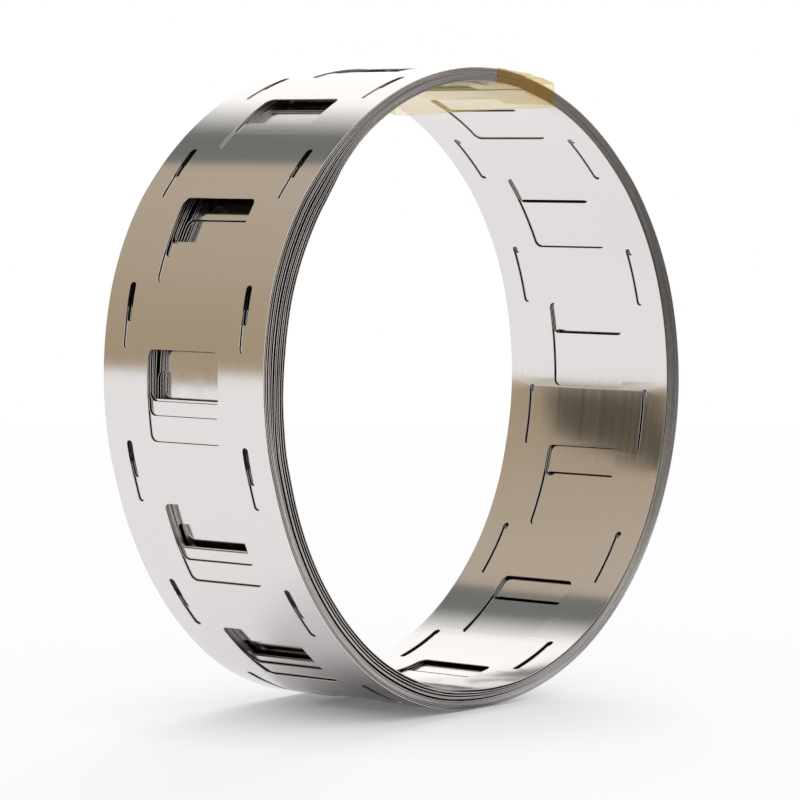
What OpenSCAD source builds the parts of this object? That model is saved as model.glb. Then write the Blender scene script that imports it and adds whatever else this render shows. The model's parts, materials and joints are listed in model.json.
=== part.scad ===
// Coil of punched nickel strip for joining battery cells two abreast, held by one band of film tape.
// Units are millimetres. The coil's axis lies along Y, its front end faces -Y and it stands on its rim.

/* [Strip] */
// width of the strip, edge to edge, which is the coil's length along Y
strip_w = 25.5; // [20:0.5:40]
// thickness of the nickel
strip_t = 0.1; // [0.05:0.01:0.3]
// distance from one cell to the next, along the strip and across it
cell_pitch = 18.5; // [18:0.1:22]

/* [Punched holes] */
// length of a weld slot along the strip; the window fills the rest of the pitch
slot_len = 7.7; // [4:0.1:12]
// width of a weld slot
slot_w = 0.9; // [0.4:0.1:2]
// width of a window across the strip
window_w = 11.3; // [6:0.1:16]
// radius of a window's corners
window_corner_r = 0.8; // [0.3:0.1:2]

/* [Coil] */
// outside diameter of the coil
coil_od = 78; // [60:0.5:120]
// number of turns
turns = 12; // [4:1:20]
// loose air between one turn and the next
turn_gap = 0.125; // [0.03:0.005:0.3]
// depth to which the gap between turns is open at both ends
gap_depth = 2.0; // [0.5:0.1:3]
// how far the hidden turns wander sideways, which narrows the way through their holes on each side
side_play = 0.05; // [0.02:0.01:0.2]
// angle at which each turn steps into the next, under the tape
seam_a = 78; // [0:1:359]
// length of strip from its outer end to its first weld slot
first_slot = 0.6; // [0:0.1:18]

/* [Tape] */
// width of the tape along the rim
tape_w = 11; // [5:0.5:20]
// thickness of the tape
tape_t = 0.06; // [0.03:0.01:0.2]
// angle of the middle of the tape on the rim
tape_a = 78; // [0:1:359]

/* [Hidden] */
$fn = 96;

coil_r = coil_od / 2;
turn_pitch = strip_t + turn_gap;
bore_r = coil_r - (turns - 1) * turn_pitch - strip_t;
window_len = cell_pitch - slot_len;
half_w = strip_w / 2;
slot_low = (cell_pitch - slot_w) / 2 + side_play;
slot_high = (cell_pitch + slot_w) / 2 - side_play;
window_side = window_w / 2 - side_play;
// how far a punch reaches past the turn it cuts, before it is trimmed to that turn
punch_over = 1;

// outside radius of a turn, counted from 0 at the outermost
function turn_r(k) = coil_r - k * turn_pitch;
// length of strip wound before turn k begins
function wound(k) = 2 * PI * k * (coil_r - strip_t / 2 - turn_pitch * k / 2);
// angle reached by a length of strip that lies in turn k
function angle_at(k, len) = seam_a + 360 * (len - wound(k)) / (wound(k + 1) - wound(k));
// first and last cell whose slots and window both lie wholly in turn k
function first_cell(k) = ceil((wound(k) - first_slot) / cell_pitch);
function last_cell(k) = floor((wound(k + 1) - first_slot - cell_pitch) / cell_pitch);

strip_coil();
tape_band();

module strip_coil() {
    color([0.72, 0.71, 0.69])
    rotate([90, 0, 0])
    difference() {
        stacked_zones();
        punched_turn(0, turn_r(1), coil_r + punch_over);
        punched_turn(turns - 1, bore_r - punch_over, turn_r(turns - 1));
    }
}

// the coil with the holes of its hidden turns, whose straight edges show in the windows over them
module stacked_zones() {
    for (end = [0, 1]) mirror([0, 0, end]) {
        zone(half_w - gap_depth, half_w) separate_turns();
        zone(slot_high, half_w - gap_depth) whole_turns();
        zone(slot_low, slot_high) turns_cut_by(0, slot_len);
        zone(window_side, slot_low) whole_turns();
    }
    zone(-window_side, window_side) turns_cut_by(slot_len, window_len);
}

// the holes of the outermost or innermost turn, with their rounded ends and corners
module punched_turn(k, low_r, top_r) {
    intersection() {
        rotate_extrude() translate([low_r, -half_w]) square([top_r - low_r, strip_w]);
        union() for (cell = [first_cell(k) : last_cell(k)]) {
            start = first_slot + cell * cell_pitch;
            for (side = [-1, 1])
                punch_at(k, start + slot_len / 2, side * cell_pitch / 2)
                    rounded_slot(slot_len, slot_w);
            punch_at(k, start + slot_len + window_len / 2, 0)
                rounded_window(window_len, window_w, window_corner_r);
        }
    }
}

// stands a flat outline on the rim of turn k at a length of strip and a distance across it
module punch_at(k, len, across) {
    rotate([0, 0, angle_at(k, len)])
    translate([bore_r - 2 * punch_over, 0, across])
    rotate([90, 0, 90])
        linear_extrude(height = coil_r - bore_r + 4 * punch_over) children();
}

module rounded_slot(len, w) {
    square([len - w, w], center = true);
    for (end = [-1, 1]) translate([end * (len - w) / 2, 0]) circle(d = w);
}

module rounded_window(len, w, r) {
    square([len - 2 * r, w], center = true);
    square([len, w - 2 * r], center = true);
    for (i = [-1, 1], j = [-1, 1])
        translate([i * (len / 2 - r), j * (w / 2 - r)]) circle(r = r);
}

// one length of the coil along its axis, all of one section
module zone(low, high) {
    translate([0, 0, low]) linear_extrude(height = high - low) children();
}

// section near an end, where the air between the turns is open
module separate_turns() {
    for (k = [0 : turns - 1])
        difference() { circle(r = turn_r(k)); circle(r = turn_r(k) - strip_t); }
}

// section between the holes, where the wound turns stand for one wall
module whole_turns() {
    difference() { circle(r = coil_r); circle(r = bore_r); }
}

// section through one row of holes, which lie after_start along each cell and are hole_len long
module turns_cut_by(after_start, hole_len) {
    difference() {
        whole_turns();
        for (k = [1 : turns - 2]) turn_holes(k, after_start, hole_len);
    }
}

// the holes of one hidden turn, cut through that turn alone, so the turn below shows in them
module turn_holes(k, after_start, hole_len) {
    intersection() {
        difference() { circle(r = turn_r(k)); circle(r = turn_r(k + 1)); }
        union() for (cell = [first_cell(k) : last_cell(k)])
            rotate(angle_at(k, first_slot + cell * cell_pitch + after_start + hole_len / 2))
            translate([bore_r - 2 * punch_over, -hole_len / 2])
                square([coil_r - bore_r + 4 * punch_over, hole_len]);
    }
}

// one wrap of film tape round the section, from the rim through the bore and back
module tape_band() {
    tape_sweep = tape_w / coil_r * 180 / PI;
    color([0.80, 0.52, 0.12])
    rotate([90, 0, 0])
    rotate([0, 0, tape_a - tape_sweep / 2])
    rotate_extrude(angle = tape_sweep)
    difference() {
        translate([bore_r - tape_t, -half_w - tape_t])
            square([coil_r - bore_r + 2 * tape_t, strip_w + 2 * tape_t]);
        translate([bore_r, -half_w]) square([coil_r - bore_r, strip_w]);
    }
}
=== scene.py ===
"""Coil of punched nickel strip with its wrap of film tape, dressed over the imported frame."""
import json
import math

import bmesh
import bpy
import numpy
from mathutils import Matrix, Vector, noise


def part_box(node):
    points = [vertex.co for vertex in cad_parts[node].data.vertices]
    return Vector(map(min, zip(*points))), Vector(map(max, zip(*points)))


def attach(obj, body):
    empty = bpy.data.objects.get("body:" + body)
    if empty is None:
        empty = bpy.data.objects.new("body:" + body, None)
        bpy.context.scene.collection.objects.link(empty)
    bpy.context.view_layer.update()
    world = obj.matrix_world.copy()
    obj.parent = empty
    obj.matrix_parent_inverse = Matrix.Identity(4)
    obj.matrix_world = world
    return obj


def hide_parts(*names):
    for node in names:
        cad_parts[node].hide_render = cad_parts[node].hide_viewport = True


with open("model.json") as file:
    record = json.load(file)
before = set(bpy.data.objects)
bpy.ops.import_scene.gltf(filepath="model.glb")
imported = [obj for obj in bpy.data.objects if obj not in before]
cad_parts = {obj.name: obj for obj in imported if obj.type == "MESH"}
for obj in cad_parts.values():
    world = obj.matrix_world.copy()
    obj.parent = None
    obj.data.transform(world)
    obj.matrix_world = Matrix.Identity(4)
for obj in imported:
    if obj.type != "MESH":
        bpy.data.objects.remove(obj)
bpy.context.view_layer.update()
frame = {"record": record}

MM = 0.001
FULL_TURN = 360.0

# Sizes of the strip and its coil, in metres, as the part's source has them.
coil_low, coil_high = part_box("strip_coil")
COIL_R = (coil_high[0] - coil_low[0]) / 2
STRIP_W = coil_high[1] - coil_low[1]
BORE_R = frame["record"]["mounts"][0]["dims"]["r_mm"] * MM
FLOOR_Z = coil_low[2]
STRIP_T = 0.1 * MM
TURNS = 12
TURN_PITCH = (COIL_R - BORE_R - STRIP_T) / (TURNS - 1)
CELL_PITCH = 18.5 * MM
SLOT_LEN = 7.7 * MM
SLOT_W = 0.9 * MM
WINDOW_W = 11.3 * MM
CORNER_R = 0.8 * MM
FIRST_SLOT = 0.6 * MM
SEAM_A = math.radians(78)

# How the strip is meshed: the distance from one station to the next, the points on a rounded corner, how many
# thicknesses a punch reaches each way, the radius of a slot's ends as a share of its width, the sharpest bend
# that is shaded smooth, and how far a sheared face may still look up or down.
STATION_STEP = 1.1 * MM
CORNER_POINTS = 5
PUNCH_REACH = 3.0
SLOT_END = 0.48
SOFT_BEND = math.radians(30)
SHEARED_FACING = 0.5

# How the real coil departs from a true one. Each pair is degrees round the coil from the seam and
# millimetres: the radius of its rim, and how much looser its turns lie there than tight on each other.
RIM_SHAPE = (
    (0, 38.30), (20, 38.65), (36, 38.98), (45, 39.20), (54, 39.46), (63, 39.74), (72, 39.93), (80, 39.87),
    (87, 39.66), (93, 39.44), (100, 39.19), (112, 38.82), (125, 38.55), (137, 38.63), (150, 38.85),
    (175, 39.20), (194, 39.00), (230, 39.40), (262, 39.50), (290, 39.20), (320, 38.55), (340, 38.25),
    (360, 38.30),
)
LOOSENESS = (
    (0, 0.25), (25, 0.35), (42, 0.60), (55, 1.30), (72, 2.30), (85, 2.35), (102, 2.05), (117, 1.65),
    (132, 1.40), (147, 1.32), (162, 1.30), (178, 1.20), (195, 0.85), (215, 0.50), (240, 0.60), (258, 0.90),
    (275, 1.20), (290, 1.10), (312, 0.65), (335, 0.35), (360, 0.25),
)
RIM_LEAST, RIM_RANGE, LOOSENESS_RANGE = 38.0, 2.0, 2.5
LEAST_GAP = 0.01 * MM

# How that looseness is shared out from the outermost turn inward. Where the turns stand apart, APART has the
# share at each turn, which holds from the first to the second part of that turn. Where they lie in bunches,
# TURN_BUNCHES has turns wound and the share by then. BUNCHED says where they do, by degrees from the seam.
APART = (0.0, 0.05, 0.13, 0.24, 0.30, 0.41, 0.55, 0.62, 0.73, 0.80, 0.91, 1.0)
APART_FROM, APART_TO = 0.05, 0.50
TURN_BUNCHES = (
    (0, 0.0), (0.5, 0.01), (1.15, 0.085), (1.5, 0.09), (2.15, 0.15), (6.5, 0.27), (7.2, 0.47), (8.5, 0.51),
    (9.2, 0.67), (9.5, 0.68), (10.2, 0.85), (10.5, 0.86), (11.2, 1.0), (12, 1.0),
)
BUNCHED = (
    (0, 0.0), (95, 0.0), (106, 0.35), (120, 0.90), (132, 1.0), (175, 1.0), (200, 0.6), (230, 0.2), (300, 0.0),
    (360, 0.0),
)

# The innermost turn stands off the rest by a gap of its own: LAST_TURN picks that turn by turns wound, and
# LAST_APART says how much of the gap is open, by degrees from the seam.
LAST_TURN_GAP = 0.14 * MM
LAST_TURN = ((0, 0.0), (10.97, 0.0), (11.12, 1.0), (12, 1.0))
LAST_APART = (
    (0, 0.0), (130, 0.0), (165, 0.3), (200, 0.75), (240, 0.85), (275, 0.9), (305, 0.9), (325, 0.65),
    (340, 0.4), (352, 0.15), (360, 0.0),
)

# The rolled nickel: its faces and the dull and bright tones of its sheared edges, how fine its rolling lines
# and the burrs on its edges are, for each metre, and its roughness, with what its grain and its edges add.
NICKEL_FACE = (0.775, 0.742, 0.727, 1.0)
# The bright edge tone is also a painted highlight, laid all along the outermost turn's edges.
EDGE_DULL, EDGE_BRIGHT_AND_HIGHLIGHT = (0.36, 0.345, 0.335, 1.0), (0.78, 0.755, 0.74, 1.0)
GRAIN_ALONG, GRAIN_ACROSS, BURR_ALONG = 25.0, 1500.0, 55.0
BURR_LOW, BURR_HIGH = 0.32, 0.68
FACE_ROUGH, GRAIN_ROUGH, SHEARED_ROUGH = 0.07, 0.10, 0.25

# The film tape: the angles it lies between on the rim, how far it hangs off the strip, and by how many
# degrees its lower edge slips inside the bore. Its lift and sag each fade out up to an angle, over so many
# degrees; the lift keeps a share at the back, and the sag a share at the front. The film follows the strip
# within so many degrees to each side.
TAPE_LOW, TAPE_HIGH = 69.8, 86.2
TAPE_T = 0.05 * MM
TAPE_LIFT = 0.85 * MM
TAPE_SAG = 1.0 * MM
TAPE_SLIP = 1.5
LIFT_END, LIFT_FADE = 85.0, 15.0
SAG_END, SAG_FADE = 92.0, 22.0
LIFT_AT_BACK, SAG_AT_FRONT = 0.5, 0.15
TAPE_STEPS, TAPE_SPANS = 24, 40
TAPE_FEELS = 2.0
TAPE_OFF_FACE, TAPE_OFF_EDGE = 0.02 * MM, 0.03 * MM
# Heights on the coil's wall, from bore to rim, at which the film has points; the last is just off the rim.
RISER_LEVELS = (0.0, 0.33, 0.67, 1.0, 1.05)
# Creases on the rim and in the bore: how many to a degree and to a millimetre, the noise's layer, the height.
RIM_CREASE = (0.35, 0.22, 3.0, 0.12 * MM)
BORE_CREASE = (0.30, 0.25, 9.0, 0.20 * MM)
# The film's tint where it hangs free and where it is pressed on edges, how solid it is in one layer and by
# how much more where it lies double; then how double it lies in the bore, at its lower edge, and on the rim.
FILM_FREE, FILM_PRESSED = (1.0, 0.75, 0.04, 1.0), (0.40, 0.21, 0.0, 1.0)
FILM_SINGLE, FILM_DOUBLED = 0.13, 0.17
DOUBLED_IN_BORE, DOUBLED_ON_RIM = 0.6, 0.9

# The photograph's camera: where it stands round the coil, in degrees, and how far off.
CAMERA_AZIMUTH = -49.166
CAMERA_ELEVATION = 3.714
CAMERA_DISTANCE = 487.708 * MM
CAMERA_SLIDE = (-0.438 * MM, -2.080 * MM)
LENS_PX = 3970.449
PHOTO_PX = 800
SENSOR_MM = 36.0

# The light: the share that comes from all round, and where the lamp that gives the rest stands, with its
# width in degrees.
FILL_LIGHT = 0.80
LAMP_FROM = Vector((0.68, 0.47, 0.50))
LAMP_WIDTH = 34.0

# The floor: how far it reaches each way, its tint, the middle of the coil's shadow, between which distances
# from there a painted white glow lightens that shadow and from how much to how much, and between which it
# turns plain white.
FLOOR_REACH = 6.0
FLOOR_TINT = (0.955, 0.95, 1.0, 1.0)
SHADOW_SPOT = (-8.0 * MM, -4.0 * MM, FLOOR_Z)
PAINTED_GLOW_FROM, PAINTED_GLOW_TO, PAINTED_GLOW_LEAST, PAINTED_GLOW_MOST = 0.010, 0.040, 0.10, 0.70
WHITE_FROM, WHITE_TO = 0.12, 0.50

# The painted shadow under the coil's front edge, a dark card that only the metal shows: its middle, its core
# and its reach.
FOOT_SPOT = (-7.0 * MM, -9.0 * MM, FLOOR_Z + 0.1 * MM)
FOOT_CORE, FOOT_REACH = 5.0 * MM, 19.0 * MM
FOOT_DARK, FOOT_SHARE = (0.10, 0.098, 0.095, 1.0), 0.85


class Wire:
    """A number on its way through a node tree. Arithmetic on it adds Math nodes to that tree."""

    def __init__(self, tree, socket):
        self.tree, self.socket = tree, socket

    def math(self, operation, *others):
        node = self.tree.nodes.new("ShaderNodeMath")
        node.operation = operation
        for place, value in zip(node.inputs, (self,) + others):
            feed(self.tree, place, value)
        return Wire(self.tree, node.outputs[0])

    def __add__(self, other):
        return self.math("ADD", other)

    def __sub__(self, other):
        return self.math("SUBTRACT", other)

    def __mul__(self, other):
        return self.math("MULTIPLY", other)

    def __truediv__(self, other):
        return self.math("DIVIDE", other)

    def cos(self):
        return self.math("COSINE")

    def sin(self):
        return self.math("SINE")

    def sqrt(self):
        return self.math("SQRT")


def feed(tree, place, value):
    """Links a wire or a socket into an input, or sets a plain value on it."""
    if isinstance(value, Wire):
        value = value.socket
    if isinstance(value, bpy.types.NodeSocket):
        tree.links.new(value, place)
    else:
        place.default_value = value


def add(tree, kind, settings=None, **inputs):
    """Adds a node of a kind, sets its own settings and feeds its inputs by name."""
    node = tree.nodes.new(kind)
    for name, value in (settings or {}).items():
        setattr(node, name, value)
    for name, value in inputs.items():
        feed(tree, node.inputs[name.replace("_", " ")], value)
    return node


def new_tree(name, sizes):
    """A node tree whose named inputs are the given sizes, and the wires that carry them."""
    tree = bpy.data.node_groups.new(name, "GeometryNodeTree")
    tree.interface.new_socket("Geometry", in_out="OUTPUT", socket_type="NodeSocketGeometry")
    for label, value in sizes.items():
        whole = isinstance(value, int)
        socket = tree.interface.new_socket(
            label, in_out="INPUT", socket_type="NodeSocketInt" if whole else "NodeSocketFloat"
        )
        socket.default_value = value
    group_in = tree.nodes.new("NodeGroupInput")
    return tree, {label: Wire(tree, group_in.outputs[label]) for label in sizes}


def drawn(tree, value, points, reach, height):
    """Reads a value off a drawn curve, whose points run up to a reach and a height."""
    node = tree.nodes.new("ShaderNodeFloatCurve")
    line = node.mapping.curves[0]
    spots = [(along / reach, up / height) for along, up in points]
    line.points[0].location, line.points[1].location = spots[0], spots[-1]
    for spot in spots[1:-1]:
        line.points.new(*spot)
    for point in line.points:
        point.handle_type = "AUTO_CLAMPED"
    node.mapping.update()
    feed(tree, node.inputs["Value"], value / reach)
    return Wire(tree, node.outputs[0]) * height


def close_tree(tree, geometry, material):
    """Ends a tree with Realize Instances, Set Material and its output."""
    real = add(tree, "GeometryNodeRealizeInstances", Geometry=geometry)
    painted = add(tree, "GeometryNodeSetMaterial", Geometry=real.outputs[0])
    painted.inputs["Material"].default_value = material
    group_out = tree.nodes.new("NodeGroupOutput")
    tree.links.new(painted.outputs[0], group_out.inputs["Geometry"])


def grow(name, tree, sizes):
    """Runs a tree on an empty mesh object and keeps the result as a plain mesh."""
    seedling = bpy.data.objects.new(name + "_seed", bpy.data.meshes.new(name + "_seed"))
    bpy.context.scene.collection.objects.link(seedling)
    modifier = seedling.modifiers.new(name, "NODES")
    modifier.node_group = tree
    for item in tree.interface.items_tree:
        if item.in_out == "INPUT" and item.name in sizes:
            modifier[item.identifier] = sizes[item.name]
    evaluated = seedling.evaluated_get(bpy.context.evaluated_depsgraph_get())
    mesh = bpy.data.meshes.new_from_object(evaluated)
    mesh.name = name
    seedling.modifiers.clear()
    bpy.data.objects.remove(seedling)
    piece = bpy.data.objects.new(name, mesh)
    bpy.context.scene.collection.objects.link(piece)
    return piece


def prism(tree, length, width, corner, height):
    """A closed prism along Z, up and down by a height, whose outline is a rectangle with rounded corners."""
    outline = add(tree, "GeometryNodeCurvePrimitiveQuadrilateral", Width=length, Height=width)
    rounded = add(tree, "GeometryNodeFilletCurve", {"mode": "POLY"}, Curve=outline.outputs[0], Radius=corner)
    rounded.inputs["Limit Radius"].default_value = True
    rounded.inputs["Count"].default_value = CORNER_POINTS
    rise = add(tree, "ShaderNodeCombineXYZ", Z=height)
    fall = add(tree, "ShaderNodeCombineXYZ", Z=height * -1.0)
    path = add(tree, "GeometryNodeCurvePrimitiveLine", Start=fall.outputs[0], End=rise.outputs[0])
    swept = add(tree, "GeometryNodeCurveToMesh", Curve=path.outputs[0])
    tree.links.new(rounded.outputs[0], swept.inputs["Profile Curve"])
    swept.inputs["Fill Caps"].default_value = True
    return swept.outputs[0]


def placed(tree, geometry, along, across):
    """Moves a shape along the strip and across it."""
    move = add(tree, "ShaderNodeCombineXYZ", X=along, Y=across)
    return add(tree, "GeometryNodeTransform", Geometry=geometry, Translation=move.outputs[0]).outputs[0]


def marked(tree, geometry, name, domain, value):
    """Keeps a number on every point or face of a mesh, for the material to read."""
    settings = {"data_type": "FLOAT", "domain": domain}
    node = add(tree, "GeometryNodeStoreNamedAttribute", settings, Geometry=geometry, Name=name, Value=value)
    return node.outputs[0]


def strip_coil_tree(sizes):
    """Flat strip with its punched holes, wound from its outer end inward."""
    tree, size = new_tree("wound_punched_strip", sizes)
    length, width, thick = size["Strip Length"], size["Strip Width"], size["Strip Thickness"]
    pitch, slot_len = size["Cell Pitch"], size["Slot Length"]
    window_len = pitch - slot_len

    blank_size = add(tree, "ShaderNodeCombineXYZ", X=length, Y=width, Z=thick)
    blank = add(tree, "GeometryNodeMeshCube", Size=blank_size.outputs[0])
    feed(tree, blank.inputs["Vertices X"], size["Stations"])
    blank_geo = placed(tree, blank.outputs["Mesh"], length * 0.5, 0.0)

    window = placed(
        tree, prism(tree, window_len, size["Window Width"], size["Corner Radius"], thick * PUNCH_REACH),
        slot_len + window_len * 0.5, 0.0,
    )
    slot = prism(tree, slot_len, size["Slot Width"], size["Slot Width"] * SLOT_END, thick * PUNCH_REACH)
    punches = add(tree, "GeometryNodeJoinGeometry")
    tree.links.new(window, punches.inputs[0])
    for side in (-0.5, 0.5):
        tree.links.new(placed(tree, slot, slot_len * 0.5, pitch * side), punches.inputs[0])

    start = add(tree, "ShaderNodeCombineXYZ", X=size["First Slot"])
    step = add(tree, "ShaderNodeCombineXYZ", X=pitch)
    cells = add(tree, "GeometryNodeMeshLine", {"mode": "OFFSET"})
    feed(tree, cells.inputs["Count"], size["Cells"])
    feed(tree, cells.inputs["Start Location"], start.outputs[0])
    feed(tree, cells.inputs["Offset"], step.outputs[0])
    row = add(tree, "GeometryNodeInstanceOnPoints", Points=cells.outputs[0], Instance=punches.outputs[0])
    tools = add(tree, "GeometryNodeRealizeInstances", Geometry=row.outputs[0])
    punched = add(tree, "GeometryNodeMeshBoolean", {"operation": "DIFFERENCE", "solver": "MANIFOLD"})
    tree.links.new(blank_geo, punched.inputs["Mesh 1"])
    tree.links.new(tools.outputs[0], punched.inputs["Mesh 2"])

    place = add(tree, "GeometryNodeInputPosition")
    parts = add(tree, "ShaderNodeSeparateXYZ", Vector=place.outputs[0])
    along, across, proud = (Wire(tree, parts.outputs[axis]) for axis in "XYZ")
    facing = add(tree, "ShaderNodeSeparateXYZ", Vector=add(tree, "GeometryNodeInputNormal").outputs[0])
    sheared = Wire(tree, facing.outputs["Z"]).math("ABSOLUTE").math("LESS_THAN", SHEARED_FACING)
    flat = marked(tree, punched.outputs[0], "along", "POINT", along)
    flat = marked(tree, flat, "across", "POINT", across)
    flat = marked(tree, flat, "sheared", "FACE", sheared)

    # A true spiral gives the angle that a length of strip reaches; the drawn curves give its radius there.
    first_r = size["Coil Radius"] - thick * 0.5
    tighten = size["Turn Pitch"] / (4 * math.pi)
    turned = (first_r - (first_r * first_r - along * tighten * 4.0).sqrt()) / (tighten * 2.0)
    angle = turned + size["Seam Angle"]
    turn = turned / (2 * math.pi)
    round_once = turn.math("FRACT") * FULL_TURN
    rim_points = [(degrees, radius - RIM_LEAST) for degrees, radius in RIM_SHAPE]
    rim = (drawn(tree, round_once, rim_points, FULL_TURN, RIM_RANGE) + RIM_LEAST) * MM
    slack = drawn(tree, round_once, LOOSENESS, FULL_TURN, LOOSENESS_RANGE) * MM
    steps = [(count + part, level) for count, level in enumerate(APART) for part in (APART_FROM, APART_TO)]
    apart = drawn(tree, turn, steps, float(TURNS), 1.0)
    bunched = drawn(tree, turn, TURN_BUNCHES, float(TURNS), 1.0)
    share = apart + (bunched - apart) * drawn(tree, round_once, BUNCHED, FULL_TURN, 1.0)
    last = drawn(tree, turn, LAST_TURN, float(TURNS), 1.0)
    last_gap = last * drawn(tree, round_once, LAST_APART, FULL_TURN, 1.0) * LAST_TURN_GAP
    tight = rim - thick * 0.5 - turn * (thick + size["Least Gap"])
    radius = tight - slack * share - last_gap + proud
    wound = add(tree, "ShaderNodeCombineXYZ", X=radius * angle.cos(), Y=across, Z=radius * angle.sin())
    coil = add(tree, "GeometryNodeSetPosition", Geometry=flat, Position=wound.outputs[0])

    corner = add(tree, "GeometryNodeInputMeshEdgeAngle")
    soft = Wire(tree, corner.outputs["Unsigned Angle"]).math("LESS_THAN", SOFT_BEND)
    smooth = add(tree, "GeometryNodeSetShadeSmooth", {"domain": "FACE"}, Geometry=coil.outputs[0])
    edged = add(tree, "GeometryNodeSetShadeSmooth", {"domain": "EDGE"}, Geometry=smooth.outputs[0])
    feed(tree, edged.inputs["Shade Smooth"], soft)
    return tree, edged.outputs[0]


def carried(tree, name):
    """Reads a number that a piece's mesh carries."""
    return Wire(tree, add(tree, "ShaderNodeAttribute", {"attribute_name": name}).outputs["Fac"])


def ramp(tree, value, start, end, low=0.0, high=1.0, curve="LINEAR"):
    """Goes from low to high as a value goes from start to end, and stays there."""
    node = add(
        tree, "ShaderNodeMapRange", {"interpolation_type": curve},
        Value=value, From_Min=start, From_Max=end, To_Min=low, To_Max=high,
    )
    return Wire(tree, node.outputs[0])


def two_tone(tree, share, first, second):
    """Goes from a first colour to a second as a share goes from 0 to 1."""
    node = add(tree, "ShaderNodeMix", {"data_type": "RGBA"})
    factor, color_a, color_b = node.inputs[0], node.inputs[6], node.inputs[7]
    for place, value in ((factor, share), (color_a, first), (color_b, second)):
        feed(tree, place, value)
    return node.outputs[2]


def nickel():
    """Rolled nickel: satin faces with fine lines along the strip, duller sheared edges, and a painted
    highlight along the outermost turn's edges.
    """
    material = bpy.data.materials.new("rolled_nickel")
    material.use_nodes = True
    tree = material.node_tree
    shader = tree.nodes["Principled BSDF"]
    shader.inputs["Metallic"].default_value = 1.0
    shader.inputs["Anisotropic"].default_value = 0.4
    around = add(tree, "ShaderNodeTangent", {"direction_type": "RADIAL", "axis": "Y"})
    feed(tree, shader.inputs["Tangent"], around.outputs[0])

    sheared, along, across = (carried(tree, name) for name in ("sheared", "along", "across"))
    grain_place = add(tree, "ShaderNodeCombineXYZ", X=along * GRAIN_ALONG, Y=across * GRAIN_ACROSS)
    grain = add(tree, "ShaderNodeTexNoise", Vector=grain_place.outputs[0], Scale=1.0, Detail=3.0)
    rolled = Wire(tree, grain.outputs["Fac"]) * GRAIN_ROUGH + FACE_ROUGH
    feed(tree, shader.inputs["Roughness"], rolled + sheared * SHEARED_ROUGH)

    burr_place = add(tree, "ShaderNodeCombineXYZ", X=along * BURR_ALONG)
    burr = add(tree, "ShaderNodeTexNoise", Vector=burr_place.outputs[0], Scale=1.0, Detail=2.0)
    worn = ramp(tree, burr.outputs["Fac"], BURR_LOW, BURR_HIGH)
    # Painted highlight: the outermost turn's sheared edges take the bright tone all along.
    outer_edge_highlight = along.math("LESS_THAN", wound_length(1))
    edge = two_tone(tree, outer_edge_highlight.math("MAXIMUM", worn), EDGE_DULL, EDGE_BRIGHT_AND_HIGHLIGHT)
    feed(tree, shader.inputs["Base Color"], two_tone(tree, sheared, NICKEL_FACE, edge))
    return material


def wound_length(turns):
    """Length of strip in that many turns, from the outermost inward."""
    return 2 * math.pi * turns * (COIL_R - STRIP_T / 2 - TURN_PITCH * turns / 2)


def make_strip_coil():
    """The whole strip, punched and wound."""
    length = wound_length(TURNS)
    sizes = {
        "Strip Length": length,
        "Strip Width": STRIP_W,
        "Strip Thickness": STRIP_T,
        "Stations": int(length / STATION_STEP),
        "Cell Pitch": CELL_PITCH,
        "Cells": int((length - FIRST_SLOT) / CELL_PITCH),
        "First Slot": FIRST_SLOT,
        "Slot Length": SLOT_LEN,
        "Slot Width": SLOT_W,
        "Window Width": WINDOW_W,
        "Corner Radius": CORNER_R,
        "Coil Radius": COIL_R,
        "Turn Pitch": TURN_PITCH,
        "Seam Angle": SEAM_A,
        "Least Gap": LEAST_GAP,
    }
    tree, geometry = strip_coil_tree(sizes)
    close_tree(tree, geometry, nickel())
    coil = grow("punched_strip", tree, sizes)
    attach(coil, "root")
    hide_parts("strip_coil")
    return coil


def amber_film():
    """Thin clear amber film: what lies behind it shows through, less so where it is double or pressed."""
    material = bpy.data.materials.new("amber_film")
    material.use_nodes = True
    tree = material.node_tree
    shader = tree.nodes["Principled BSDF"]
    feed(tree, shader.inputs["Base Color"], two_tone(tree, carried(tree, "pressed"), FILM_FREE, FILM_PRESSED))
    shader.inputs["Roughness"].default_value = 0.12
    shader.inputs["IOR"].default_value = 1.6
    shader.inputs["Specular IOR Level"].default_value = 0.15
    feed(tree, shader.inputs["Alpha"], carried(tree, "doubled") * FILM_DOUBLED + FILM_SINGLE)
    return material


def ease(value):
    """Runs smoothly from 0 to 1 as a value does."""
    value = min(max(value, 0.0), 1.0)
    return value * value * (3.0 - 2.0 * value)


def creased(degrees, across, crease):
    """How far a crease stands up at a place on the film."""
    per_degree, per_mm, layer, height = crease
    return abs(noise.noise(Vector((degrees * per_degree, across / MM * per_mm, layer))) * height)


def tape_section(degrees, done, top, low):
    """Points once round the coil's wall, as radius, place across and angle: rim, then bore, then front."""
    half = STRIP_W / 2
    lift = TAPE_LIFT * ease((LIFT_END - degrees) / LIFT_FADE)
    sag = TAPE_SAG * ease((SAG_END - degrees) / SAG_FADE)
    slip = TAPE_SLIP * (1.0 - done)
    section = []
    for span in range(TAPE_SPANS + 1):
        back = span / TAPE_SPANS
        across = (2.0 * back - 1.0) * half
        stand = lift * (1.0 - (1.0 - LIFT_AT_BACK) * back) + creased(degrees, across, RIM_CREASE)
        section.append((top + stand, across, degrees))
    for span in range(TAPE_SPANS + 1):
        front = span / TAPE_SPANS
        across = (1.0 - 2.0 * front) * half
        hang = sag * (SAG_AT_FRONT + (1.0 - SAG_AT_FRONT) * ease(1.0 - front))
        section.append((low - hang - creased(degrees, across, BORE_CREASE), across, degrees - slip))
    inside, outside = section[-1], section[0]
    for rise in RISER_LEVELS:
        level = low + (top - low) * rise
        part = (level - inside[0]) / (outside[0] - inside[0])
        section.append((level, -half - TAPE_OFF_EDGE, degrees - slip * (1.0 - part)))
    return section


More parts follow.
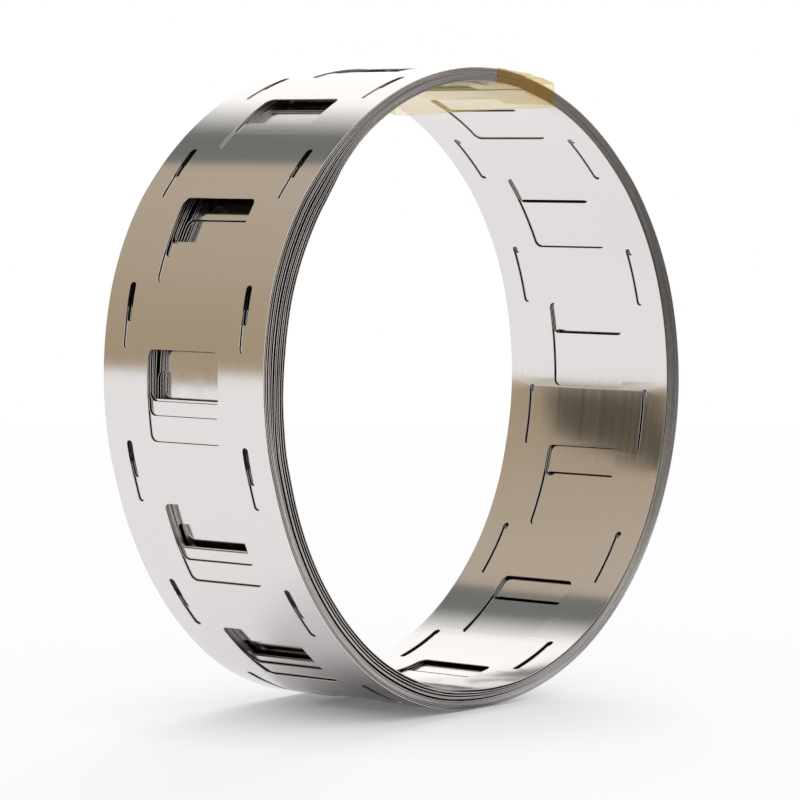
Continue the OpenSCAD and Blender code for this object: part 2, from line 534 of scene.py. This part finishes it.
def make_tape(coil):
    """One wrap of film round the wound strip: tight over its edges, lifted off the rim and slack inside."""
    spots = numpy.empty(len(coil.data.vertices) * 3)
    coil.data.vertices.foreach_get("co", spots)
    spots = spots.reshape(-1, 3)
    turned = numpy.degrees(numpy.arctan2(spots[:, 2], spots[:, 0]))
    reach = numpy.hypot(spots[:, 0], spots[:, 2])

    mesh = bmesh.new()
    pressed = mesh.verts.layers.float.new("pressed")
    doubled = mesh.verts.layers.float.new("doubled")
    rows = []
    for step in range(TAPE_STEPS + 1):
        done = step / TAPE_STEPS
        degrees = TAPE_LOW + (TAPE_HIGH - TAPE_LOW) * step / TAPE_STEPS
        near = reach[abs(turned - degrees) < TAPE_FEELS]
        section = tape_section(degrees, done, near.max() + TAPE_OFF_FACE, near.min() - TAPE_OFF_FACE)
        row = [
            mesh.verts.new((r * math.cos(math.radians(turn)), y, r * math.sin(math.radians(turn))))
            for r, y, turn in section
        ]
        for spot in row:
            spot[doubled] = DOUBLED_IN_BORE * (1.0 - done)
        for spot in row[:TAPE_SPANS + 1] + row[-1:]:
            spot[doubled] = DOUBLED_ON_RIM
        for spot in row[-len(RISER_LEVELS):-1]:
            spot[pressed] = spot[doubled] = 1.0
        rows.append(row)
    count = len(rows[0])
    for low_row, high_row in zip(rows, rows[1:]):
        for i in range(count):
            j = (i + 1) % count
            mesh.faces.new((low_row[i], low_row[j], high_row[j], high_row[i]))
    bmesh.ops.recalc_face_normals(mesh, faces=mesh.faces)
    film = bpy.data.meshes.new("film_tape")
    mesh.to_mesh(film)
    mesh.free()
    film.polygons.foreach_set("use_smooth", [True] * len(film.polygons))
    film.materials.append(amber_film())
    tape = bpy.data.objects.new("film_tape", film)
    bpy.context.scene.collection.objects.link(tape)
    wall = tape.modifiers.new("film_thickness", "SOLIDIFY")
    wall.thickness, wall.offset = TAPE_T, 1.0
    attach(tape, "root")
    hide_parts("tape_band")


def photo_camera():
    azimuth, elevation = math.radians(CAMERA_AZIMUTH), math.radians(CAMERA_ELEVATION)
    back = Vector((
        math.sin(azimuth) * math.cos(elevation), -math.cos(azimuth) * math.cos(elevation), math.sin(elevation)
    ))
    right = Vector((math.cos(azimuth), math.sin(azimuth), 0.0))
    up = back.cross(right)
    camera = bpy.data.objects.new("photo_camera", bpy.data.cameras.new("photo_camera"))
    camera.data.sensor_width = SENSOR_MM
    camera.data.lens = LENS_PX / PHOTO_PX * SENSOR_MM
    camera.data.clip_start = 0.01
    camera.data.clip_end = 20.0
    spot = back * CAMERA_DISTANCE + right * CAMERA_SLIDE[0] + up * CAMERA_SLIDE[1]
    camera.matrix_world = Matrix.Translation(spot) @ Matrix((right, up, back)).transposed().to_4x4()
    bpy.context.scene.collection.objects.link(camera)
    bpy.context.scene.camera = camera


def seen_ray(tree):
    """1 on a ray that the eye, the metal or the film sends out, 0 on one that only carries light."""
    path = add(tree, "ShaderNodeLightPath")
    seen = Wire(tree, path.outputs["Is Camera Ray"]).math("MAXIMUM", path.outputs["Is Glossy Ray"])
    return seen.math("MAXIMUM", path.outputs["Is Transmission Ray"])


def bare_material(name):
    """A new material with nothing on its output yet, and its tree."""
    material = bpy.data.materials.new(name)
    material.use_nodes = True
    tree = material.node_tree
    tree.nodes.remove(tree.nodes["Principled BSDF"])
    return material, tree


def show(tree, shader):
    tree.links.new(shader.outputs[0], tree.nodes["Material Output"].inputs["Surface"])


def show_mixed(tree, share, first, second):
    """Shows a first shader, and a second as the share goes from 0 to 1."""
    blend = add(tree, "ShaderNodeMixShader", Fac=share)
    tree.links.new(first.outputs[0], blend.inputs[1])
    tree.links.new(second.outputs[0], blend.inputs[2])
    show(tree, blend)


def distance_from(tree, spot):
    """How far a place on a surface is from a spot."""
    place = add(tree, "ShaderNodeTexCoord")
    off = add(tree, "ShaderNodeVectorMath", {"operation": "DISTANCE"})
    feed(tree, off.inputs[0], place.outputs["Object"])
    off.inputs[1].default_value = spot
    return off.outputs["Value"]


def floor_white():
    """Matt white that keeps the coil's shadow, with a painted white glow that lightens the shadow more the
    farther it is from its middle, and turns the floor plain white far off.
    """
    material, tree = bare_material("floor_white")
    matt = add(tree, "ShaderNodeBsdfDiffuse", Color=FLOOR_TINT)
    white = add(tree, "ShaderNodeEmission", Color=(1.0, 1.0, 1.0, 1.0), Strength=1.0)
    off = distance_from(tree, SHADOW_SPOT)
    # Painted light: a white glow, mixed in for seen rays, grows away from the shadow's middle and lightens
    # the shadow.
    clear = ramp(tree, off, PAINTED_GLOW_FROM, PAINTED_GLOW_TO, PAINTED_GLOW_LEAST, PAINTED_GLOW_MOST)
    far = ramp(tree, off, WHITE_FROM, WHITE_TO)
    show_mixed(tree, seen_ray(tree) * clear.math("MAXIMUM", far), matt, white)
    return material


def card_glow(name, axis, low, high, low_color, high_color):
    """The glow of a studio card, which goes from one colour to another along an axis."""
    material, tree = bare_material(name)
    place = add(tree, "ShaderNodeTexCoord")
    spot = add(tree, "ShaderNodeSeparateXYZ", Vector=place.outputs["Object"])
    share = ramp(tree, spot.outputs[axis], low, high)
    color = two_tone(tree, share, (*low_color, 1.0), (*high_color, 1.0))
    show(tree, add(tree, "ShaderNodeEmission", Color=color))
    return material


def flat_card(name, corners, material):
    """A flat sheet of the studio, which is no part of the coil."""
    mesh = bpy.data.meshes.new(name)
    mesh.from_pydata(corners, [], [(0, 1, 2, 3)])
    mesh.materials.append(material)
    card = bpy.data.objects.new(name, mesh)
    bpy.context.scene.collection.objects.link(card)
    return card


def metal_only(card):
    """Lets a card show in the metal alone."""
    card.visible_camera = card.visible_diffuse = card.visible_shadow = False


def mirror_card(name, corners, glow):
    metal_only(flat_card(name, corners, card_glow(name, *glow)))


def level_square(x, y, z, reach):
    """Corners of a level square round a middle."""
    return [(x + i * reach, y + j * reach, z) for i, j in ((-1, -1), (1, -1), (1, 1), (-1, 1))]


def upright(foot, far, low_z, high_z):
    """Corners of an upright card that stands on a line from foot to far."""
    return [(*foot, low_z), (*far, low_z), (*far, high_z), (*foot, high_z)]


def grey(level):
    return (level, level, level)


def warm_grey(level):
    return (level * 1.05, level * 0.99, level * 0.95)


def foot_shade():
    """A painted shadow: a dark card, shown in the metal alone, for the dark of the floor close under the
    coil's front edge, which fades out round its middle.
    """
    material, tree = bare_material("foot_shade")
    dark = add(tree, "ShaderNodeEmission", Color=FOOT_DARK, Strength=1.0)
    clear = add(tree, "ShaderNodeBsdfTransparent")
    off = distance_from(tree, FOOT_SPOT)
    show_mixed(tree, ramp(tree, off, FOOT_CORE, FOOT_REACH, FOOT_SHARE, 0.0, "SMOOTHSTEP"), clear, dark)
    metal_only(flat_card("foot_shade", level_square(*FOOT_SPOT, FOOT_REACH), material))


def edge_cards():
    """Cards before the coil, to its right, which show in the turns' edges, brightest at the left and low."""
    near_end, far_end = Vector((-0.0005, -0.1065)), Vector((0.106, 0.017))
    left, top, split = (near_end.lerp(far_end, share) for share in (0.285, 0.365, 0.40))
    knee, waist, card_top = -0.0355, -0.012, 0.12
    bright_z, dim_z = -0.030, 0.006
    mirror_card(
        "edge_card_high", upright(near_end, split, waist, card_top),
        ("X", left.x, top.x, warm_grey(1.12), warm_grey(0.26)),
    )
    mirror_card(
        "edge_card_low", upright(near_end, split, FLOOR_Z, waist),
        ("X", left.x, split.x, warm_grey(0.94), warm_grey(0.66)),
    )
    mirror_card(
        "edge_card_right", upright(split, far_end, knee, card_top),
        ("Z", bright_z, dim_z, warm_grey(0.96), warm_grey(0.30)),
    )
    mirror_card(
        "edge_card_foot", upright(split, far_end, FLOOR_Z, knee),
        ("Z", FLOOR_Z, knee, warm_grey(0.34), warm_grey(0.44)),
    )


def wall_cards():
    """Cards well behind the coil, which show in the strip's faces: a warm wall, a curtain and a panel."""
    behind, side, card_top = 0.82, 3.0, 3.0
    wall_end, curtain_end, panel_start = -0.017, 0.225, 0.52
    wall_foot, curtain_foot, edge_foot, panel_foot = 0.005, 0.4, 0.3, 0.1
    warm_low, warm_high, warm_to = (0.435, 0.350, 0.228), (0.565, 0.490, 0.400), 1.1
    curtain, panel = (0.185, 0.200, 0.190), grey(1.22)
    mirror_card(
        "wall_foot", upright((-side, behind), (wall_end, behind), FLOOR_Z, wall_foot),
        ("Z", FLOOR_Z, wall_foot, grey(0.9), warm_low),
    )
    mirror_card(
        "warm_wall", upright((-side, behind), (wall_end, behind), wall_foot, card_top),
        ("Z", 0.0, warm_to, warm_low, warm_high),
    )
    mirror_card(
        "dark_curtain", upright((wall_end, behind), (curtain_end, behind), curtain_foot, card_top),
        ("Z", curtain_foot, card_top, curtain, curtain),
    )
    mirror_card(
        "panel_edge", upright((curtain_end, behind), (panel_start, behind), edge_foot, card_top),
        ("X", curtain_end, panel_start, curtain, panel),
    )
    mirror_card(
        "bright_panel", upright((panel_start, behind), (side, behind), panel_foot, card_top),
        ("Z", panel_foot, card_top, panel, panel),
    )


def brown_card():
    """A small dark card near the coil, which shows in the bore as a brown patch."""
    brown = (0.090, 0.078, 0.062)
    left, right, back, low, right_top, left_top = -0.066, -0.036, 0.065, 0.0, 0.016, 0.042
    mirror_card(
        "brown_card",
        [(left, back, low), (right, back, low), (right, back, right_top), (left, back, left_top)],
        ("Z", low, left_top, brown, brown),
    )


def soft_world():
    """White all round for the eye and for the metal, and a softer light for everything matt."""
    world = bpy.data.worlds.new("soft_studio")
    bpy.context.scene.world = world
    world.use_nodes = True
    tree = world.node_tree
    background = tree.nodes["Background"]
    background.inputs["Color"].default_value = (1.0, 1.0, 1.0, 1.0)
    feed(tree, background.inputs["Strength"], seen_ray(tree) * (1.0 - FILL_LIGHT) + FILL_LIGHT)


def soft_lamp():
    """A wide lamp behind the coil, to its right, which lays the soft shadow on the floor in front."""
    lamp = bpy.data.lights.new("wide_lamp", "SUN")
    lamp.angle = math.radians(LAMP_WIDTH)
    lamp.energy = (1.0 - FILL_LIGHT) * math.pi / LAMP_FROM.normalized().z
    holder = bpy.data.objects.new("wide_lamp", lamp)
    holder.matrix_world = LAMP_FROM.to_track_quat("Z", "Y").to_matrix().to_4x4()
    holder.visible_glossy = False
    bpy.context.scene.collection.objects.link(holder)


def studio():
    bpy.context.scene.view_settings.view_transform = "Standard"
    flat_card("pale_floor", level_square(0.0, 0.0, FLOOR_Z, FLOOR_REACH), floor_white())
    soft_world()
    soft_lamp()
    wall_cards()
    brown_card()
    foot_shade()
    edge_cards()


make_tape(make_strip_coil())
photo_camera()
studio()
